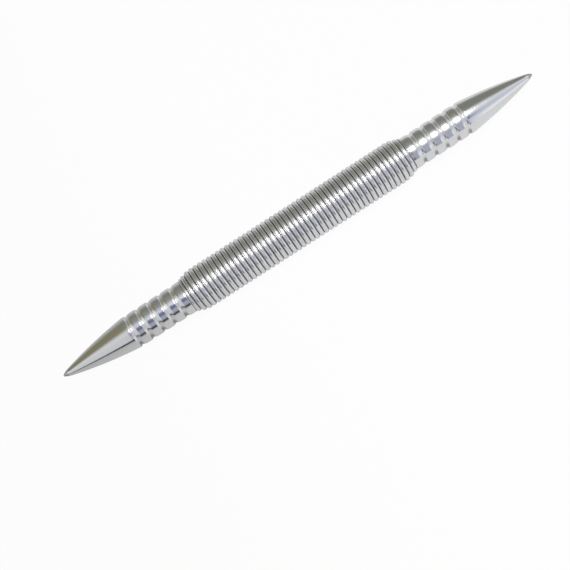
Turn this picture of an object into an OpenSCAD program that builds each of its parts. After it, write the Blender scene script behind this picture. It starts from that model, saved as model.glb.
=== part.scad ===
// Double-ended spring centre punch.
// Two pointed steel rods meet nose to nose inside one close-wound tension spring.
// The spring's small end turns sit in a neck behind each ringed grip. One rod is pulled
// back and let go, and its flat face strikes the other rod.
// The tool lies along X, with its middle over the origin and the spring's underside at Z = 0.

/* [Tool] */
// Length of the whole tool, from point to point
tool_length = 130; // [110:1:160]
// Daylight between the two striking faces at rest
face_gap = 0.04; // [0.02:0.01:0.2]

/* [Point] */
// Length of each tapered point, from its tip to the grip
point_length = 18.8; // [12:0.1:24]
// Diameter of the flat at the very tip
tip_d = 0.4; // [0.2:0.1:1.2]
// Length of the steep ground tip
tip_length = 1; // [0.4:0.1:2]
// Included angle of the ground tip, in degrees
tip_angle = 60; // [40:1:90]
// How far the long flank swells out from a straight cone
flank_bulge = 0.35; // [0.05:0.01:0.5]

/* [Ringed grip] */
// Diameter of the lands between the grooves
grip_d = 8.2; // [7:0.1:9.4]
// Number of grooves turned in each grip
groove_count = 5; // [3:1:7]
// Distance from one groove to the next
groove_pitch = 3.08; // [2.4:0.02:4]
// Width of a groove at the surface
groove_w = 1.4; // [1:0.05:2]
// Width of a groove's steep wall, which faces the spring
steep_w = 0.5; // [0.3:0.05:0.8]
// Depth of a groove
groove_depth = 0.38; // [0.2:0.02:0.7]
// Width of the land between the point and the first groove
lead_land = 0.2; // [0.1:0.05:1.5]
// Width of the land between the last groove and the neck
end_land = 1.7; // [0.8:0.05:3]

/* [Neck and shank] */
// Diameter of the neck that the spring's end turns sit on
neck_d = 6.2; // [5.2:0.1:6.6]
// Bevel round the edge of the striking face
face_bevel = 0.6; // [0.2:0.1:1.5]

/* [Spring] */
// Outer diameter of the spring
spring_od = 10.5; // [9.8:0.1:12]
// Diameter of the spring wire, which is also the turns' spacing in a close-wound spring
wire_d = 1.24; // [0.95:0.01:1.5]
// Daylight kept between neighbouring turns, so that the wire is one clean solid
coil_gap = 0.42; // [0.41:0.01:0.5]
// Turns of the thinning end, ground flat where it lies against the grip
ground_turns = 0.375; // [0.125:0.125:0.375]
// Turns over which the spring widens to its full diameter
taper_turns = 2.5; // [2:0.5:6]

/* [Fits] */
// Radial clearance between the end coil and the neck
neck_clearance = 0.1; // [0.05:0.01:0.2]
// Radial clearance between the shank and the spring round it
shank_clearance = 0.25; // [0.2:0.01:0.4]

/* [Hidden] */
$fn = 96;
flank_fn = 256;
rings_per_turn = 8;

// The point: a steep ground tip, then a long flank that is an arc through its two ends
tip_top_r = tip_d / 2 + tip_length * tan(tip_angle / 2);
grip_r = grip_d / 2;
flank_foot = [tip_top_r, tip_length];
flank_head = [grip_r, point_length];
flank_chord = norm(flank_head - flank_foot);
flank_r = arc_radius(flank_chord, flank_bulge);
flank_out = [point_length - tip_length, tip_top_r - grip_r] / flank_chord;
flank_centre = (flank_foot + flank_head) / 2 - flank_out * (flank_r - flank_bulge);

// The grip: grooves between straight lands, each with a steep wall to pull on and a gentle one
grip_length = lead_land + groove_w + (groove_count - 1) * groove_pitch + end_land;
grip_end = point_length + grip_length;

// The spring fills the space between the two grips, as close-wound turns
axis_z = spring_od / 2;
wire_r = wire_d / 2;
coil_span = tool_length - 2 * grip_end - wire_d;
coil_turns = floor(coil_span / wire_d);
coil_pitch = coil_span / coil_turns;
coil_half_w = (coil_pitch - coil_gap) / 2;
end_coil_r = neck_d / 2 + neck_clearance + wire_r;
body_coil_r = spring_od / 2 - wire_r;

// The shank rises out of the neck at 45 degrees, where the turns are wide enough to pass over it
neck_r = neck_d / 2;
shank_r = body_coil_r - wire_r - shank_clearance;
clear_share = 1 - sqrt((shank_clearance - neck_clearance) / (body_coil_r - end_coil_r));
clear_turn = taper_turns * clear_share;
shank_start = grip_end + clear_turn * coil_pitch + wire_d;
neck_end = shank_start - (shank_r - neck_r);
face_z = (tool_length - face_gap) / 2;

// Radius of the arc that rises by the given height over the given chord
function arc_radius(chord, rise) = (chord * chord / 4 + rise * rise) / (2 * rise);

// Distance of a groove's steep edge from the tip
function groove_z(i) = point_length + lead_land + i * groove_pitch;

// How far a place on the wire is from the nearer end of the full turns; the ground ends lie below 0
function from_end(turn) = min(turn, coil_turns - turn);

// Radius of the wire's centre line, which widens along a parabola from either end
function coil_r(turn) =
    let (share = max(0, min(1, from_end(turn) / taper_turns)))
    end_coil_r + (body_coil_r - end_coil_r) * (1 - (1 - share) * (1 - share));

// Half of the wire's width along the axis: a ground end fills the wedge beside the first full turn
function half_w(turn) = (min(1, 1 + from_end(turn)) * coil_pitch - coil_gap) / 2;

// Place of the wire's middle along the axis: the ground ends stay flat against the grips
function ring_x(turn) =
    max(0, min(coil_turns, turn)) * coil_pitch - coil_span / 2
    + sign(turn - coil_turns / 2) * (coil_half_w - half_w(turn));

// Six corners of the wire's section, as shares of its thickness out from the centre line and of
// its width along the axis
wire_section = [[1, 0.5], [1, -0.5], [0, -1], [-1, -0.5], [-1, 0.5], [0, 1]];
sides = len(wire_section);

// A turn is drawn with flats whose distance across is the true diameter, one of them underneath.
// The first full turn starts on the near side
half_step = 180 / rings_per_turn;
start_angle = 180 + half_step;
function ring_points(i) =
    let (turn = i / rings_per_turn, a = start_angle + turn * 360)
    [for (corner = wire_section)
        let (r = (coil_r(turn) + corner[0] * wire_r) / cos(half_step))
        [
            ring_x(turn) + corner[1] * half_w(turn),
            r * cos(a),
            r * sin(a) + axis_z
        ]
    ];

// All rings of the wire, from one ground end to the other
end_rings = ground_turns * rings_per_turn;
wire_rings = [for (i = [-end_rings : coil_turns * rings_per_turn + end_rings]) ring_points(i)];

// The least distance between the corners of one turn and those of the next
least_gap = min([
    for (i = [0 : len(wire_rings) - rings_per_turn - 2])
        for (j = [rings_per_turn - 1 : rings_per_turn + 1])
            for (p = wire_rings[i])
                for (q = wire_rings[i + j])
                    norm(p - q)
]);
echo(coil_turns = coil_turns, least_gap_between_turns_mm = least_gap);

// Half of a rod's lengthwise section, with its tip at the origin and its axis along Y
module punch_section() {
    difference() {
        union() {
            polygon([[0, 0], [tip_d / 2, 0], flank_foot, [0, tip_length]]);
            intersection() {
                translate([0, tip_length])
                    square([grip_r, point_length - tip_length]);
                translate(flank_centre)
                    circle(r = flank_r, $fn = flank_fn);
            }
            translate([0, point_length])
                square([grip_r, grip_length]);
            polygon([
                [0, grip_end],
                [neck_r, grip_end],
                [neck_r, neck_end],
                [shank_r, shank_start],
                [shank_r, face_z - face_bevel],
                [shank_r - face_bevel, face_z],
                [0, face_z]
            ]);
        }
        for (i = [0 : groove_count - 1])
            translate([grip_r, groove_z(i)])
                polygon([
                    [groove_depth, -steep_w],
                    [-groove_depth, steep_w],
                    [groove_depth, 2 * groove_w - steep_w]
                ]);
    }
}

// A rod turned from its section, standing on its tip
module punch() {
    rotate_extrude()
        punch_section();
}

// The rod whose point is at the -X end
module left_punch() {
    color("silver")
        translate([-tool_length / 2, 0, axis_z])
            rotate([0, 90, 0])
                punch();
}

// The rod whose point is at the +X end
module right_punch() {
    color("silver")
        translate([tool_length / 2, 0, axis_z])
            rotate([0, -90, 0])
                punch();
}

// The spring: one right-handed wire, swept through its rings
module tension_spring() {
    points = [for (ring = wire_rings) each ring];
    last = len(wire_rings) - 1;
    walls = [
        for (i = [0 : last - 1])
            for (k = [0 : sides - 1])
                let (
                    a = i * sides + k,
                    b = i * sides + (k + 1) % sides,
                    c = a + sides,
                    d = b + sides
                )
                each [[a, b, d], [a, d, c]]
    ];
    start_cap = [for (k = [1 : sides - 2]) [0, k + 1, k]];
    end_cap = [for (k = [1 : sides - 2]) [last * sides, last * sides + k, last * sides + k + 1]];
    color("lightgray")
        polyhedron(points, concat(walls, start_cap, end_cap));
}

left_punch();
right_punch();
tension_spring();
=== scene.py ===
"""A double-ended spring centre punch, dressed for rendering.

Two turned steel rods and one close-wound tension spring replace the plain solids of the frame.
All sizes are in metres, in the frame's own axes: the tool lies along X on the plane Z = 0.
"""

import math

import bpy
import numpy as np
from bpy.props import FloatProperty, FloatVectorProperty, IntProperty, PointerProperty
from mathutils import Matrix, Vector


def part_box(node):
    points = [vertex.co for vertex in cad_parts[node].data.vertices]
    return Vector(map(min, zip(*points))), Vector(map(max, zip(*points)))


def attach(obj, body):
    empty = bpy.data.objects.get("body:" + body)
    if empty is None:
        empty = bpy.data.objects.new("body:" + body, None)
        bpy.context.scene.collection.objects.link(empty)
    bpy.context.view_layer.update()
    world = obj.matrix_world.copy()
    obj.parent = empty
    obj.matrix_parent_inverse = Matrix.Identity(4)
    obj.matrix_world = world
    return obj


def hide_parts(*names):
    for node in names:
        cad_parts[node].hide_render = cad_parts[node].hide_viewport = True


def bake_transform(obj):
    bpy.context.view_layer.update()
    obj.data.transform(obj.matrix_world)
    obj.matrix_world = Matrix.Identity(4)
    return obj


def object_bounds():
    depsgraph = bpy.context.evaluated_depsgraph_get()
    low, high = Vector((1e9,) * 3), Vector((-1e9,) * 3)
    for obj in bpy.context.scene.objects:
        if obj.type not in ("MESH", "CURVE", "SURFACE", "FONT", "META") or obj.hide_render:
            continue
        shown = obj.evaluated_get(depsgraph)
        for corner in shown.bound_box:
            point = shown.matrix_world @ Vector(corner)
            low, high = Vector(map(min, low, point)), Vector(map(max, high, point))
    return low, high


bl_info = {
    "name": "Spring centre punch",
    "version": (1, 0, 0),
    "blender": (4, 5, 0),
    "location": "3D View > Sidebar > Punch",
    "description": "Builds a double-ended spring centre punch: rods, spring and stage",
    "category": "Object",
}

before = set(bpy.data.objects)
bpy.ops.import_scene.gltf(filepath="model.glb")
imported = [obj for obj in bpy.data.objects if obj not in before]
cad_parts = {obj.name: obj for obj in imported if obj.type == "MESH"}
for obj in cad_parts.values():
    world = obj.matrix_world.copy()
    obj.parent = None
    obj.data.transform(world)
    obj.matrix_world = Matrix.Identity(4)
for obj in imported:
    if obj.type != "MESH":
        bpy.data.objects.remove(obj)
CAD_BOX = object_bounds()
ROD_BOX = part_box("left_punch")
COIL_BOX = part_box("tension_spring")

MM = 0.001
FULL_TURN = 2 * math.pi
WHITE = (1.0, 1.0, 1.0)

# How finely the surfaces are drawn: points round a rod, along its tip, flank and grip, and on each
# rounded corner behind them; rings of the wire in one turn, and points in a ring
ROD_COLUMNS = 96
TIP_STEPS, FLANK_STEPS, GRIP_STEPS = 36, 90, 300
CORNER_STEPS = 6
RINGS_PER_TURN = 40
WIRE_SIDES = 16

# Bands of heights over which the flank is rounded into the ground tip and into the grip
TIP_ROUND = 0.25 * MM
GRIP_ROUND = 0.06 * MM

# Heights of the bumps on the steel and on the wire
RING_HEIGHT = 0.0015 * MM
LINE_HEIGHT = 0.004 * MM

# The table: half its width, and how far it lies under the tool, so that the two never touch; how
# far to the left of the tool's middle its painted shade is deepest, and the share of its colour
# left there
TABLE_REACH = 3.0
TABLE_DROP = 0.02 * MM
TABLE_SHADE_PLACE = -0.07
TABLE_SHADE_SHARE = 0.6

# The camera's sensor in millimetres, and the nearest and farthest things that it sees
SENSOR_WIDTH = 36.0
NEAREST, FARTHEST = 0.005, 50.0

# Sockets of a Mix node in its colour mode: the share, the two colours and the result
MIX_SHARE, MIX_FIRST, MIX_SECOND, MIX_RESULT = 0, 6, 7, 2


def length(label, text, value):
    """A size in metres that a user can change."""
    return FloatProperty(
        name=label, description=text, default=value, min=0.0, precision=6, unit="LENGTH"
    )


def tint(label, text, value):
    """A colour that a user can change."""
    return FloatVectorProperty(
        name=label, description=text, default=value, size=3, min=0.0, max=1.0, subtype="COLOR"
    )


def toned(colour, share):
    """A colour made darker or lighter by a share."""
    return [share * part for part in colour]


class RodSizes(bpy.types.PropertyGroup):
    """Sizes and colours of the two turned rods."""

    tool_length: length("Tool length", "From point to point", CAD_BOX[1].x - CAD_BOX[0].x)
    axis_height: length("Axis height", "Height of the tool's axis over the table",
                        (ROD_BOX[0].z + ROD_BOX[1].z) / 2)
    face_gap: length("Face gap", "Daylight between the two striking faces", 0.04 * MM)
    point_length: length("Point length", "From the tip to the grip", 18.8 * MM)
    tip_d: length("Tip diameter", "Flat at the very tip", 0.4 * MM)
    tip_length: length("Ground tip", "Length of the steep ground tip", 1.0 * MM)
    tip_angle: FloatProperty(
        name="Tip angle", description="Included angle of the ground tip",
        default=math.radians(60), subtype="ANGLE",
    )
    flank_bulge: length("Flank bulge", "How far the flank swells from a straight cone", 0.35 * MM)
    grip_d: length("Grip diameter", "Diameter of the lands", ROD_BOX[1].y - ROD_BOX[0].y)
    groove_count: IntProperty(name="Grooves", description="Grooves in each grip", default=5, min=1)
    groove_pitch: length("Groove pitch", "From one groove to the next", 3.08 * MM)
    groove_w: length("Groove width", "At the surface", 1.4 * MM)
    steep_w: length("Steep wall", "Width of the groove's wall that faces the spring", 0.5 * MM)
    groove_depth: length("Groove depth", "Below the lands", 0.38 * MM)
    lead_land: length("Lead land", "Between the point and the first groove", 0.2 * MM)
    end_land: length("End land", "Between the last groove and the neck", 1.7 * MM)
    edge_round: length("Edge rounding", "How far the grooves' edges are broken", 0.10 * MM)
    neck_d: length("Neck diameter", "Seat of the spring's end turns", 6.2 * MM)
    face_bevel: length("Face bevel", "Round the striking face", 0.6 * MM)
    shank_clearance: length("Shank clearance", "Between the shank and the spring", 0.25 * MM)
    colour: tint("Steel", "Colour of the polished steel", (0.80, 0.80, 0.80))
    # This colour also serves as the painted shade in the lower side of the grooves.
    stain_and_shade: tint("Groove stain", "Colour of the dirt left under the grooves", (0.20, 0.19, 0.18))


class SpringSizes(bpy.types.PropertyGroup):
    """Sizes and colours of the tension spring."""

    outer_d: length("Outer diameter", "Over the full turns", COIL_BOX[1].y - COIL_BOX[0].y)
    wire_d: length("Wire diameter", "Of the round wire", 1.24 * MM)
    ground_turns: FloatProperty(
        name="Ground turns", description="Thinning end, flat against the grip", default=0.92
    )
    taper_turns: FloatProperty(
        name="Taper turns", description="Turns over which the spring widens", default=2.5
    )
    held_turns: FloatProperty(
        name="Held turns", description="Turns at each end that stay closed on the neck", default=2.0
    )
    start_angle: FloatProperty(
        name="Start angle", description="Where the first full turn starts, on the near side",
        default=math.radians(202.5), subtype="ANGLE",
    )
    neck_clearance: length("Neck clearance", "Between the end turn and the neck", 0.1 * MM)
    colour: tint("Wire", "Colour of the drawn wire", (0.83, 0.83, 0.84))
    # Colour of the painted shade where the turns touch.
    crevice_shade: tint("Grime", "Colour of the film between the turns", (0.48, 0.47, 0.46))


class StageLook(bpy.types.PropertyGroup):
    """Camera, lamp, table and room."""

    elevation: FloatProperty(
        name="Elevation", description="How steeply the camera looks down",
        default=math.radians(64.0), subtype="ANGLE",
    )
    roll: FloatProperty(
        name="Roll", description="How far the tool rises to the right in the picture",
        default=math.radians(32.8), subtype="ANGLE",
    )
    distance: length("Distance", "From the camera to the tool's axis", 0.30)
    aim_x: FloatProperty(
        name="Aim along the tool", description="Where the camera looks, along X",
        default=-10.1 * MM, unit="LENGTH", precision=6,
    )
    aim_below: length("Aim below the tool", "How far the camera looks past it", 10.14 * MM)
    picture_scale: FloatProperty(
        name="Picture scale", description="Picture widths per metre at the axis", default=7.51
    )
    table: tint("Table", "Colour of the table", (0.70, 0.70, 0.70))
    far_side: tint("Far side", "Colour of the room behind the tool", (0.183, 0.195, 0.165))
    far_left: tint("Far left", "Colour of the warm wall behind, to the left", (0.20, 0.185, 0.10))
    near_side: tint("Near side", "Colour of the room in front, to the left", (0.663, 0.679, 0.705))
    window: tint("Window", "Colour of the cool light in front", (0.589, 0.632, 0.768))
    beside: tint("Beside", "Colour of the room at both ends of the tool", (0.58, 0.58, 0.58))
    overhead: tint("Overhead", "Colour of the ceiling", (0.726, 0.726, 0.737))
    glow: tint("Glow", "Colour of the bright ceiling to both sides", WHITE)
    shade: tint("Shade", "Colour of the deep shade in front", (0.110, 0.125, 0.225))
    dusk: tint("Dusk", "Colour of the half shade under it and beside it", (0.368, 0.389, 0.474))
    foot: tint("Foot", "Colour of the room's dark foot in front", (0.0, 0.0, 0.0))
    lamp_power: FloatProperty(name="Lamp power", description="In watts", default=1.5, unit="POWER")
    lamp_width: length("Lamp width", "Along the tool", 0.21)
    lamp_depth: length("Lamp depth", "Across the tool", 0.15)
    lamp_place: FloatVectorProperty(
        name="Lamp place", description="Middle of the panel", default=(0.115, -0.10, 0.5),
        size=3, subtype="TRANSLATION",
    )


class Link:
    """One socket of a node tree. Arithmetic on it adds Math nodes to the tree."""

    def __init__(self, tree, socket=None):
        self.tree = tree
        self.socket = socket

    def node(self, kind, settings=None, values=None, out=0):
        """Adds a node: its settings first, then the values or links of its sockets."""
        made = self.tree.nodes.new(kind)
        for name, setting in (settings or {}).items():
            if name == "stops":
                ramp = made.color_ramp.elements
                while len(ramp) < len(setting):
                    ramp.new(1.0)
                for element, (place, colour) in zip(ramp, setting):
                    element.position = place
                    element.color = (*colour, 1.0)
            else:
                setattr(made, name, setting)
        for key, value in (values or {}).items():
            if isinstance(value, Link):
                self.tree.links.new(value.socket, made.inputs[key])
            else:
                made.inputs[key].default_value = value
        return Link(self.tree, made.outputs[out] if len(made.outputs) else None)

    def math(self, operation, *values):
        """A Math node on this socket and further values."""
        terms = dict(enumerate((self, *values)))
        return self.node("ShaderNodeMath", {"operation": operation}, terms)

    def __add__(self, other):
        return self.math("ADD", other)

    __radd__ = __add__

    def __sub__(self, other):
        return self.math("SUBTRACT", other)

    def __rsub__(self, other):
        return self.math("MULTIPLY_ADD", -1.0, other)

    def __mul__(self, other):
        return self.math("MULTIPLY", other)

    __rmul__ = __mul__

    def __truediv__(self, other):
        return self.math("DIVIDE", other)

    def __pow__(self, other):
        return self.math("POWER", other)

    def __abs__(self):
        return self.math("ABSOLUTE")

    def ramp(self, low, high):
        """0 below low and 1 above high, with a smooth rise between; falls if high is below low."""
        rising = high > low
        return self.node(
            "ShaderNodeMapRange",
            {"interpolation_type": "SMOOTHSTEP"},
            {
                "Value": self,
                "From Min": min(low, high),
                "From Max": max(low, high),
                "To Min": 0.0 if rising else 1.0,
                "To Max": 1.0 if rising else 0.0,
            },
        )

    def mix(self, first, second):
        """A colour between two, with this socket as the share of the second."""
        ends = {
            key: value if isinstance(value, Link) else (*value, 1.0)
            for key, value in ((MIX_FIRST, first), (MIX_SECOND, second))
        }
        return self.node(
            "ShaderNodeMix", {"data_type": "RGBA"}, {MIX_SHARE: self, **ends}, MIX_RESULT
        )

    def axes(self):
        """The three numbers of a vector."""
        parts = self.node("ShaderNodeSeparateXYZ", None, {"Vector": self})
        return [Link(self.tree, s) for s in parts.socket.node.outputs]

    def sky(self, bands):
        """A colour that changes along this socket, from 0 to 1.

        A band has a start, an end and a colour, and each blends into the next.
        """
        stops = [
            (place, colour) for start, end, colour in bands for place in sorted({start, end})
        ]
        return self.node("ShaderNodeValToRGB", {"stops": stops}, {"Fac": self})

    def noise(self, x, y, z, detail):
        """Noise on three numbers that are already scaled, from 0 to 1."""
        place = self.node("ShaderNodeCombineXYZ", None, {"X": x, "Y": y, "Z": z})
        return self.node(
            "ShaderNodeTexNoise", None, {"Vector": place, "Scale": 1.0, "Detail": detail}
        )


def new_material(name):
    """An empty node material, as a Link to build from and the material itself."""
    material = bpy.data.materials.new(name)
    material.use_nodes = True
    material.node_tree.nodes.clear()
    return Link(material.node_tree), material


def join_output(link, shader, output="ShaderNodeOutputMaterial"):
    """Joins a shader to the tree's output."""
    link.node(output, None, {"Surface": shader})


def white_share(link, camera, metal):
    """How much of the white background a ray shows: straight from the camera, and off metal."""
    outputs = link.node("ShaderNodeLightPath").socket.node.outputs
    straight, off_metal, through_glass = [
        Link(link.tree, outputs[name])
        for name in ("Is Camera Ray", "Is Glossy Ray", "Is Transmission Ray")
    ]
    return straight * camera + off_metal.math("MAXIMUM", through_glass) * metal


def metal(link, colour, roughness, height, depth):
    """A metal shader with a bumped surface; depth is the height of the bumps in metres."""
    bump = link.node(
        "ShaderNodeBump", None, {"Height": height, "Strength": 1.0, "Distance": depth}
    )
    return link.node(
        "ShaderNodeBsdfPrincipled",
        None,
        {"Base Color": colour, "Metallic": 1.0, "Roughness": roughness, "Normal": bump},
    )


def polished_steel(rod):
    """Turned and polished steel.

    Fine rings go round the axis, where the cutter left them. They are deepest on the ground tip,
    and the striking face is dented. Both are duller than the rest. A painted shade darkens the
    grooves on their lower side.
    """
    link, material = new_material("polished_steel")
    place = link.node("ShaderNodeTexCoord", out="Object")
    x, y, z = [part * (1 / MM) for part in place.axes()]
    up = z - rod.axis_height / MM
    radius = (y * y + up * up) ** 0.5
    half = rod.tool_length / 2 / MM
    tip = rod.tip_length / MM
    point = rod.point_length / MM
    grip_end = rod_places(rod)["grip_end"] / MM
    from_tip = half - abs(x)
    below_land = rod.grip_d / 2 / MM - radius

    def grain(along, across, detail):
        """Noise with a number of grains per millimetre along the tool, and across it."""
        return link.noise(x * along, y * across, up * across, detail)

    rings = grain(along=5.0, across=0.06, detail=3.0)
    fine_rings = grain(along=17.0, across=0.12, detail=1.0)
    cloud = grain(along=0.35, across=0.5, detail=3.0)
    scratch = link.noise(x * 0.5 + y * 2.5, y * 9.0 - x * 1.5, up * 9.0, 2.0).ramp(0.62, 0.7)

    # Masks of the ground tip, all that lies behind the grip, the striking face, the grip and its
    # grooves, all from distances in millimetres
    ground = from_tip.ramp(tip * 1.5, tip * 0.9)
    inner = from_tip.ramp(grip_end - 0.2, grip_end + 0.2)
    face = from_tip.ramp(half - 0.3, half - 0.1)
    on_grip = from_tip.ramp(point, point + 0.2) * (1 - inner)
    low = below_land.ramp(0.1, rod.groove_depth / MM) * on_grip

    # Painted shade: the grooves are darker on their lower side, where they mirror the shadow under
    # the tool.
    groove_shade = below_land.ramp(0.03, 0.25) * on_grip * up.ramp(1.6, 0.2)
    # The ground tip, the part behind the grip and the striking face are darker too.
    darkening = groove_shade * (0.6 + 0.4 * cloud) + ground * 0.5 + inner * 0.25 * cloud + face * 0.3
    colour = darkening.mix(rod.colour, rod.stain_and_shade)
    roughness = (
        0.08 + 0.10 * cloud + 0.05 * rings + 0.04 * scratch
        + 0.05 * low + 0.18 * ground + 0.12 * inner + 0.25 * face
    )
    dents = grain(along=3.0, across=1.6, detail=4.0) * face * 6.0
    height = (
        rings * (0.5 + 1.5 * ground + 0.8 * inner) + fine_rings * 0.25 - scratch * 0.2 + dents
    )
    join_output(link, metal(link, colour, roughness, height, RING_HEIGHT))
    return material


def spring_wire(spring):
    """Bright drawn wire: fine lines run along it, and a painted shade darkens it where the turns
    touch.

    The wire's own map gives the run along it in millimetres and the way round it from 0 to 1,
    with 0 on the outside of the spring.
    """
    link, material = new_material("spring_wire")
    along, around, _ = link.node("ShaderNodeUVMap", {"uv_map": "wire"}).axes()
    turn = around * FULL_TURN
    side, out = turn.math("SINE"), turn.math("COSINE")
    lines = link.noise(along * 0.25, side * 9.0, out * 9.0, 2.0)
    cloud = link.noise(along * 0.12, out * 0.6, side * 0.6, 3.0)
    pits = link.noise(along * 3.0, side * 4.0, out * 4.0, 1.0).ramp(0.66, 0.74)

    # Painted shade: the wire darkens towards its sides, where the turns touch.
    darkening = abs(side).ramp(0.50, 1.0) * (0.6 + 0.4 * cloud)
    clean = cloud.ramp(0.3, 0.75).mix(spring.colour, toned(spring.colour, 0.86))
    colour = darkening.mix(clean, spring.crevice_shade)
    roughness = 0.18 + 0.10 * cloud + 0.05 * lines + 0.1 * darkening + 0.1 * pits
    height = lines * 0.7 - pits * 0.5
    join_output(link, metal(link, colour, roughness, height, LINE_HEIGHT))
    return material


def arc_radius(chord, rise):
    """Radius of the arc that rises by a height over a chord."""
    return (chord * chord / 4 + rise * rise) / (2 * rise)


def rod_places(rod):
    """Distances of a rod's features from its tip, and the radii at them."""
    grip_end = (rod.point_length + rod.lead_land + rod.groove_w
                + (rod.groove_count - 1) * rod.groove_pitch + rod.end_land)
    return {
        "grip_end": grip_end,
        "grip_r": rod.grip_d / 2,
        "neck_r": rod.neck_d / 2,
        "face": (rod.tool_length - rod.face_gap) / 2,
        "tip_top_r": rod.tip_d / 2 + rod.tip_length * math.tan(rod.tip_angle / 2),
    }


def coil_places(rod, spring):
    """Number, spacing and radii of the spring's turns, which fill the space between the grips."""
    wire_r = spring.wire_d / 2
    span = rod.tool_length - 2 * rod_places(rod)["grip_end"] - spring.wire_d
    # The small surplus keeps a whole number of turns from being cut by one.
    turns = int(span / spring.wire_d + 1e-6)
    end_r = rod.neck_d / 2 + spring.neck_clearance + wire_r
    body_r = spring.outer_d / 2 - wire_r
    return {
        "span": span, "turns": turns, "pitch": span / turns,
        "wire_r": wire_r, "end_r": end_r, "body_r": body_r,
    }


def soft_min(first, second, band):
    """The lower of two heights, with their crossing rounded off over a band of heights."""
    share = np.clip(band - np.abs(first - second), 0, None) / band
    return np.minimum(first, second) - share * share * band / 4


def rounded(rows):
    """A line through corners, each cut by a curve.

    A row holds a corner, as a distance and a radius, and the length of its cut. The curve leaves
    one side that far before the corner, comes back on the next side as far behind it, and is a
    parabola whose tangents meet in the corner. The first and the last corner aren't cut.
    """
    rows = np.asarray(rows, float)
    corners, cuts = rows[:, :2], rows[1:-1, 2:]
    middle = corners[1:-1]
    before, after = corners[:-2] - middle, corners[2:] - middle
    start = middle + before / np.linalg.norm(before, axis=1, keepdims=True) * cuts
    end = middle + after / np.linalg.norm(after, axis=1, keepdims=True) * cuts
    t = np.linspace(0, 1, CORNER_STEPS)[None, :, None]
    curve = (1 - t) ** 2 * start[:, None] + 2 * t * (1 - t) * middle[:, None] + t**2 * end[:, None]
    return np.vstack([corners[:1], curve.reshape(-1, 2), corners[-1:]])


def point_and_grip(rod):
    """A rod's outline from its tip to the middle of its last land.

    The radius at a distance from the tip is the lowest of the ground tip's cone, the flank's arc,
    the land and each groove's two walls, with the crossings rounded. The steps change their size
    a little behind the ground tip and a little before the grip.
    """
    at = rod_places(rod)
    starts = (0.02 * MM, rod.tip_length * 1.6, rod.point_length - 0.4 * MM)
    ends = (*starts[1:], at["grip_end"] - rod.end_land / 2)
    counts = (TIP_STEPS, FLANK_STEPS, GRIP_STEPS)
    z = np.unique(np.concatenate([np.linspace(*row) for row in zip(starts, ends, counts)]))

    cone = rod.tip_d / 2 + z * math.tan(rod.tip_angle / 2)
    foot = np.array([rod.tip_length, at["tip_top_r"]])
    head = np.array([rod.point_length, at["grip_r"]])
    chord = np.linalg.norm(head - foot)
    arc = arc_radius(chord, rod.flank_bulge)
    out = np.array([foot[1] - head[1], head[0] - foot[0]]) / chord
    centre = (foot + head) / 2 - out * (arc - rod.flank_bulge)
    flank = centre[1] + np.sqrt(arc * arc - (z - centre[0]) ** 2)
    radius = soft_min(cone, flank, TIP_ROUND)
    radius = soft_min(radius, np.full_like(z, at["grip_r"]), GRIP_ROUND)

    first = rod.point_length + rod.lead_land + rod.groove_w / 2
    nearest = np.clip(np.round((z - first) / rod.groove_pitch), 0, rod.groove_count - 1)
    off = z - first - nearest * rod.groove_pitch + rod.groove_w / 2
    steep = off / rod.steep_w * rod.groove_depth
    gentle = (rod.groove_w - off) / (rod.groove_w - rod.steep_w) * rod.groove_depth
    hollow = at["grip_r"] - soft_min(steep, gentle, rod.edge_round)
    return np.column_stack([z, soft_min(radius, hollow, rod.edge_round)])


def neck_and_shank(rod, spring, start):
    """A rod's outline behind a point on its last land.

    It goes through the corners of the land, the neck, the shoulder, the shank and the face's
    bevel, and ends well inside the face, which is closed from there. The shoulder ends where the
    spring's turns are wide enough to pass over the shank.
    """
    at = rod_places(rod)
    coil = coil_places(rod, spring)
    last_z, land_r = start
    shank_r = coil["body_r"] - coil["wire_r"] - rod.shank_clearance
    share = 1 - math.sqrt(
        (rod.shank_clearance - spring.neck_clearance) / (coil["body_r"] - coil["end_r"])
    )
    clear_turn = spring.taper_turns * share
    shank_start = at["grip_end"] + clear_turn * coil["pitch"] + spring.wire_d
    neck_end = shank_start - (shank_r - at["neck_r"])
    return rounded([
        (last_z, land_r, 0.0),
        (at["grip_end"], land_r, 0.16 * MM),
        (at["grip_end"], at["neck_r"], 0.3 * MM),
        (neck_end, at["neck_r"], 0.3 * MM),
        (shank_start, shank_r, 0.25 * MM),
        (at["face"] - rod.face_bevel, shank_r, 0.15 * MM),
        (at["face"], shank_r - rod.face_bevel, 0.12 * MM),
        (at["face"], shank_r * 0.3, 0.0),
    ])


def rod_outline(rod, spring):
    """Half of a rod's lengthwise section, from its blunt nose, as distances and radii."""
    nose = np.array([[0.0, rod.tip_d * 0.3]])
    front = point_and_grip(rod)
    return np.vstack([nose, front, neck_and_shank(rod, spring, front[-1])[1:]])


def put_mesh(name, points, faces, material):
    """A smooth mesh object from arrays of points and of faces."""
    mesh = bpy.data.meshes.new(name)
    mesh.from_pydata(points.tolist(), [], [f for block in faces for f in block.tolist()])
    mesh.validate()
    mesh.shade_smooth()
    mesh.materials.append(material)
    piece = bpy.data.objects.new(name, mesh)
    bpy.context.scene.collection.objects.link(piece)
    return piece


def ring_faces(rows, columns):
    """Four-sided faces between closed rings of points that lie one behind the other."""
    row, column = np.meshgrid(np.arange(rows - 1), np.arange(columns), indexing="ij")
    beside = (column + 1) % columns
    here, ahead = row * columns, (row + 1) * columns
    return np.stack(
        [here + column, here + beside, ahead + beside, ahead + column], axis=-1
    ).reshape(-1, 4)


def cap_faces(first, columns, middle):
    """Three-sided faces from a ring of points to one point in its middle."""
    here = first + np.arange(columns)
    beside = first + (np.arange(columns) + 1) % columns
    return np.stack([here, beside, np.full(columns, middle)], axis=-1)


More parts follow.
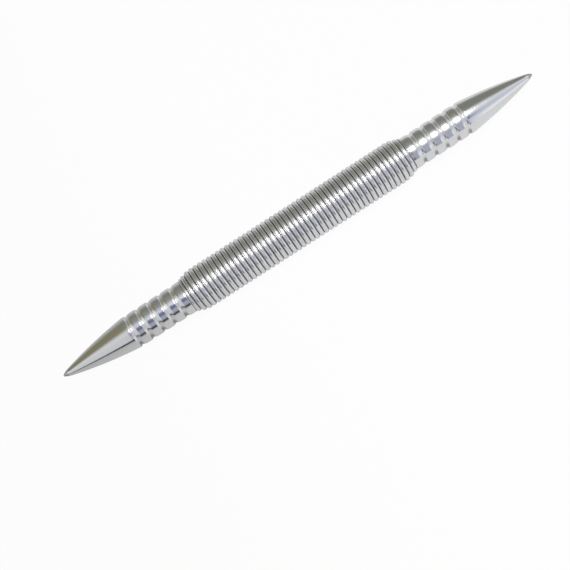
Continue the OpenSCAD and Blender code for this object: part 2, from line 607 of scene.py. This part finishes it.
def turned(outline, axis_height, half_length, facing):
    """A solid of revolution about the tool's axis.

    The point at a distance along the outline and an angle is (distance - half length,
    radius x cosine, radius x sine + axis height), and facing -1 turns it half round the
    upright axis. The two ends close in one point each.
    """
    columns = ROD_COLUMNS
    angle = np.arange(columns) * FULL_TURN / columns
    z, r = outline[:, :1], outline[:, 1:]
    rings = np.stack(
        [
            np.broadcast_to(facing * (z - half_length), (len(outline), columns)),
            facing * r * np.cos(angle),
            r * np.sin(angle) + axis_height,
        ],
        axis=-1,
    ).reshape(-1, 3)
    ends = [[facing * (outline[k, 0] - half_length), 0.0, axis_height] for k in (0, -1)]
    points = np.vstack([rings, ends])
    count = len(rings)
    faces = [
        ring_faces(len(outline), columns),
        cap_faces(0, columns, count)[:, ::-1],
        cap_faces(count - columns, columns, count + 1),
    ]
    return points, faces


def coil_line(turn, spring, coil):
    """Radius of the wire's centre line: small at both ends, widening along a falling parabola."""
    from_end = np.minimum(turn, coil["turns"] - turn)
    share = np.clip(from_end / spring.taper_turns, 0, 1)
    return coil["end_r"] + (coil["body_r"] - coil["end_r"]) * (1 - (1 - share) ** 2)


def wound(spring, coil, axis_height):
    """A wire carried along a right-handed helix about the tool's axis, with ground ends.

    At a number of turns t and an angle v round the wire, the point lies at
    (t x pitch - span / 2 + half width x sine v) along the axis, and at
    (line radius + half height x cosine v) from it, in the direction of t turns.
    Half the pitch is the half width, so that the turns touch. Before the first full turn and after
    the last, the width falls evenly to nothing over one turn, and the side towards the grip stays
    flat. There the height is that of a round wire cut to the same width.
    """
    sides, ends = WIRE_SIDES, spring.ground_turns
    count = round((coil["turns"] + 2 * ends) * RINGS_PER_TURN) + 1
    turn = np.linspace(-ends, coil["turns"] + ends, count)
    whole = np.clip(1 + np.minimum(turn, coil["turns"] - turn), 0, 1)
    half_w = whole * coil["pitch"] / 2
    half_h = np.sqrt(1 - np.clip(1 - 2 * whole, 0, 1) ** 2) * coil["wire_r"]
    flush = np.sign(turn) * (coil["pitch"] / 2 - half_w)
    middle = np.clip(turn, 0, coil["turns"]) * coil["pitch"] - coil["span"] / 2 + flush
    around = np.arange(sides) * FULL_TURN / sides
    angle = spring.start_angle + turn[:, None] * FULL_TURN
    radius = coil_line(turn, spring, coil)[:, None] + half_h[:, None] * np.cos(around)
    rings = np.stack(
        [
            middle[:, None] + half_w[:, None] * np.sin(around),
            radius * np.cos(angle),
            radius * np.sin(angle) + axis_height,
        ],
        axis=-1,
    )
    points = np.vstack([rings.reshape(-1, 3), rings[[0, -1]].mean(axis=1)])
    last = len(turn) * sides
    faces = [
        ring_faces(len(turn), sides)[:, ::-1],
        cap_faces(0, sides, last),
        cap_faces(last - sides, sides, last + 1)[:, ::-1],
    ]
    turn_of = np.concatenate([np.repeat(turn, sides), turn[[0, -1]]])
    return points, faces, turn_of


def map_wire(piece, turn_of, coil):
    """Gives the wire a map: the run along it in millimetres, and the way round it from 0 to 1.

    A face that closes a ring ends at 1 and not at 0, so that the map doesn't run back across it.
    """
    mesh = piece.data
    corners = np.zeros(len(mesh.loops), np.int32)
    mesh.loops.foreach_get("vertex_index", corners)
    starts = np.zeros(len(mesh.polygons), np.int32)
    totals = np.zeros(len(mesh.polygons), np.int32)
    mesh.polygons.foreach_get("loop_start", starts)
    mesh.polygons.foreach_get("loop_total", totals)
    around = (corners % WIRE_SIDES) / WIRE_SIDES
    face_of = np.repeat(np.arange(len(starts)), totals)
    highest = np.maximum.reduceat(around, starts)[face_of]
    around = np.where((around == 0) & (highest > 0.5), 1.0, around)
    run = turn_of[corners] * FULL_TURN * coil["body_r"] / MM
    layer = mesh.uv_layers.new(name="wire")
    layer.uv.foreach_set("vector", np.column_stack([run, around]).astype(np.float32).ravel())


class PUNCH_OT_rods(bpy.types.Operator):
    """Turns the two rods, each from its point to its striking face"""

    bl_idname = "punch.rods"
    bl_label = "Turn the rods"

    def execute(self, context):
        rod, spring = context.scene.punch_rod, context.scene.punch_spring
        outline = rod_outline(rod, spring)
        material = polished_steel(rod)
        for node, body, facing in (("left_punch", "left_rod", 1), ("right_punch", "right_rod", -1)):
            points, faces = turned(outline, rod.axis_height, rod.tool_length / 2, facing)
            piece = put_mesh(node + "_rod", points, faces, material)
            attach(piece, body)
            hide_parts(node)
        return {"FINISHED"}


class PUNCH_OT_spring(bpy.types.Operator):
    """Winds the tension spring between the two grips"""

    bl_idname = "punch.spring"
    bl_label = "Wind the spring"

    def execute(self, context):
        rod, spring = context.scene.punch_rod, context.scene.punch_spring
        coil = coil_places(rod, spring)
        points, faces, turn_of = wound(spring, coil, rod.axis_height)
        piece = put_mesh("wound_spring", points, faces, spring_wire(spring))
        map_wire(piece, turn_of, coil)
        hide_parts("tension_spring")
        end = Vector((coil["span"] / 2, 0, rod.axis_height))
        start = Vector((-coil["span"] / 2, 0, rod.axis_height))
        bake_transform(piece)
        free = coil["turns"] - 2 * spring.held_turns
        share = np.clip((turn_of - spring.held_turns) / free, 0, 1).astype(np.float32)
        return {"FINISHED"}


class PUNCH_OT_stage(bpy.types.Operator):
    """Sets the table, the lamp, the room and the camera"""

    bl_idname = "punch.stage"
    bl_label = "Set the stage"

    def execute(self, context):
        look = context.scene.punch_stage
        self.table(look)
        self.lamp(context, look)
        self.room(context, look)
        self.camera(context, look)
        context.scene.view_settings.view_transform = "Standard"
        return {"FINISHED"}

    def table(self, look):
        """A wide pale table that keeps the tool's shadow, with a painted shade under the left rod.
        """
        link, material = new_material("table")
        along = link.node("ShaderNodeTexCoord", out="Object").axes()[0]
        # Painted shade: the table's colour darkens towards the left, under the left rod.
        table_shade = along.ramp(0.0, TABLE_SHADE_PLACE)
        colour = table_shade.mix(look.table, toned(look.table, TABLE_SHADE_SHARE))
        matt = link.node(
            "ShaderNodeBsdfPrincipled", None,
            {"Base Color": colour, "Roughness": 1.0, "Specular IOR Level": 0.0},
        )
        white = link.node("ShaderNodeEmission", None, {"Color": (*WHITE, 1.0), "Strength": 1.0})
        share = white_share(link, camera=0.96, metal=0.2)
        join_output(link, link.node("ShaderNodeMixShader", None, {0: share, 1: matt, 2: white}))
        edges = (-TABLE_REACH, TABLE_REACH)
        x, y = np.meshgrid(edges, edges)
        points = np.column_stack([x.ravel(), y.ravel(), np.full(4, -TABLE_DROP)])
        put_mesh("table", points, [np.array([[0, 1, 3, 2]])], material)

    def lamp(self, context, look):
        """A soft panel overhead, a little to the right of the tool and in front of it."""
        light = bpy.data.lights.new("overhead_panel", "AREA")
        light.shape = "RECTANGLE"
        light.size, light.size_y = look.lamp_width, look.lamp_depth
        light.energy = look.lamp_power
        lamp = bpy.data.objects.new("overhead_panel", light)
        lamp.location = look.lamp_place
        context.scene.collection.objects.link(lamp)

    def room(self, context, look):
        """The room that the metal mirrors. The camera itself sees it white.

        The turn goes from the front horizon, 0, over the zenith to the back horizon, 1, and x from
        the left end of the tool, -1, to the right end, 1. Each stretch of the room along x has its
        own bands of colour over the turn: shaded in front, bright overhead and dim behind. The two
        ends of the room are plain, under a bright ceiling. They start at one lean of the mirror
        along the tool, whatever the turn, and the lean follows from x and the camera's elevation.
        """
        world = bpy.data.worlds.new("room")
        world.use_nodes = True
        world.node_tree.nodes.clear()
        context.scene.world = world
        link = Link(world.node_tree)
        x, y, z = link.node("ShaderNodeTexCoord", out="Generated").axes()
        turn = z.math("ARCTAN2", y * -1.0) * (1 / math.pi)

        pale_wall = toned(look.beside, 0.65)
        half_lit = toned(look.far_side, 1.5)
        light_dusk = toned(look.dusk, 1.13)
        horizon = (1.0, 1.0, pale_wall)
        left = [
            (0.0, 0.055, look.foot), (0.085, 0.30, look.near_side), (0.34, 0.45, look.overhead),
            (0.59, 0.87, look.far_left), horizon,
        ]
        ahead = [
            (0.0, 0.075, look.foot), (0.11, 0.22, look.dusk), (0.26, 0.36, look.shade),
            (0.39, 0.47, look.window), (0.60, 0.60, half_lit), (0.80, 0.87, look.far_side), horizon,
        ]
        right = [
            (0.0, 0.27, light_dusk), (0.35, 0.50, look.glow), (0.62, 0.62, half_lit),
            (0.80, 0.87, look.far_side), horizon,
        ]
        corner = [
            (0.0, 0.20, look.window), (0.235, 0.305, look.shade), (0.335, 0.46, look.overhead),
            (0.60, 0.87, look.far_side), horizon,
        ]
        beyond = [
            (0.0, 0.08, look.glow), (0.20, 0.32, look.window), (0.40, 0.46, look.overhead),
            (0.60, 0.87, look.far_side), horizon,
        ]
        front = turn.sky(left)
        for start, end, bands in (
            (-0.34, -0.20, ahead),
            (0.03, 0.15, right),
            (0.20, 0.28, corner),
            (0.36, 0.46, beyond),
        ):
            front = x.ramp(start, end).mix(front, turn.sky(bands))

        low_left = x.ramp(0.0, -0.2) * turn.ramp(0.20, 0.12)
        side = turn.ramp(0.54, 0.64).mix(low_left.mix(look.beside, look.shade), pale_wall)
        level = ((turn - look.elevation / math.pi) * (math.pi / 2)).math("COSINE")
        lean = (abs(x) - 0.03) / level
        ceiling = abs(x).ramp(0.64, 0.74) * turn.ramp(0.36, 0.40) * turn.ramp(0.84, 0.50)
        light = ceiling.mix(lean.ramp(0.81, 0.87).mix(front, side), look.glow)
        seen = white_share(link, camera=0.985, metal=0.05).mix(light, WHITE)
        join_output(
            link,
            link.node("ShaderNodeBackground", None, {"Color": seen, "Strength": 1.0}),
            "ShaderNodeOutputWorld",
        )

    def camera(self, context, look):
        """Looks down on the tool from the front, rolled so that the tool rises to the right."""
        rod = context.scene.punch_rod
        back = Vector((0, -math.cos(look.elevation), math.sin(look.elevation)))
        level_up = Vector((0, math.sin(look.elevation), math.cos(look.elevation)))
        along = Vector((1, 0, 0))
        right = along * math.cos(look.roll) - level_up * math.sin(look.roll)
        up = along * math.sin(look.roll) + level_up * math.cos(look.roll)
        aim = Vector((look.aim_x, 0, rod.axis_height)) - level_up * look.aim_below
        data = bpy.data.cameras.new("camera")
        data.sensor_width = SENSOR_WIDTH
        data.lens = SENSOR_WIDTH * look.picture_scale * look.distance
        data.clip_start, data.clip_end = NEAREST, FARTHEST
        camera = bpy.data.objects.new("camera", data)
        turn = Matrix((right, up, back)).transposed().to_4x4()
        camera.matrix_world = Matrix.Translation(aim + back * look.distance) @ turn
        context.scene.collection.objects.link(camera)
        context.scene.camera = camera


class PUNCH_PT_panel(bpy.types.Panel):
    """Lists the sizes and the steps that build the tool"""

    bl_idname = "PUNCH_PT_panel"
    bl_label = "Spring centre punch"
    bl_space_type = "VIEW_3D"
    bl_region_type = "UI"
    bl_category = "Punch"

    def draw(self, context):
        for step, group in (
            ("punch.rods", context.scene.punch_rod),
            ("punch.spring", context.scene.punch_spring),
            ("punch.stage", context.scene.punch_stage),
        ):
            box = self.layout.box()
            box.operator(step)
            for name in group.__annotations__:
                box.prop(group, name)


CLASSES = (
    RodSizes, SpringSizes, StageLook,
    PUNCH_OT_rods, PUNCH_OT_spring, PUNCH_OT_stage, PUNCH_PT_panel,
)


def register():
    for made in CLASSES:
        bpy.utils.register_class(made)
    bpy.types.Scene.punch_rod = PointerProperty(type=RodSizes)
    bpy.types.Scene.punch_spring = PointerProperty(type=SpringSizes)
    bpy.types.Scene.punch_stage = PointerProperty(type=StageLook)


def unregister():
    del bpy.types.Scene.punch_stage
    del bpy.types.Scene.punch_spring
    del bpy.types.Scene.punch_rod
    for made in reversed(CLASSES):
        bpy.utils.unregister_class(made)


def main():
    register()
    bpy.ops.punch.rods()
    bpy.ops.punch.spring()
    bpy.ops.punch.stage()


if __name__ == "__main__":
    main()
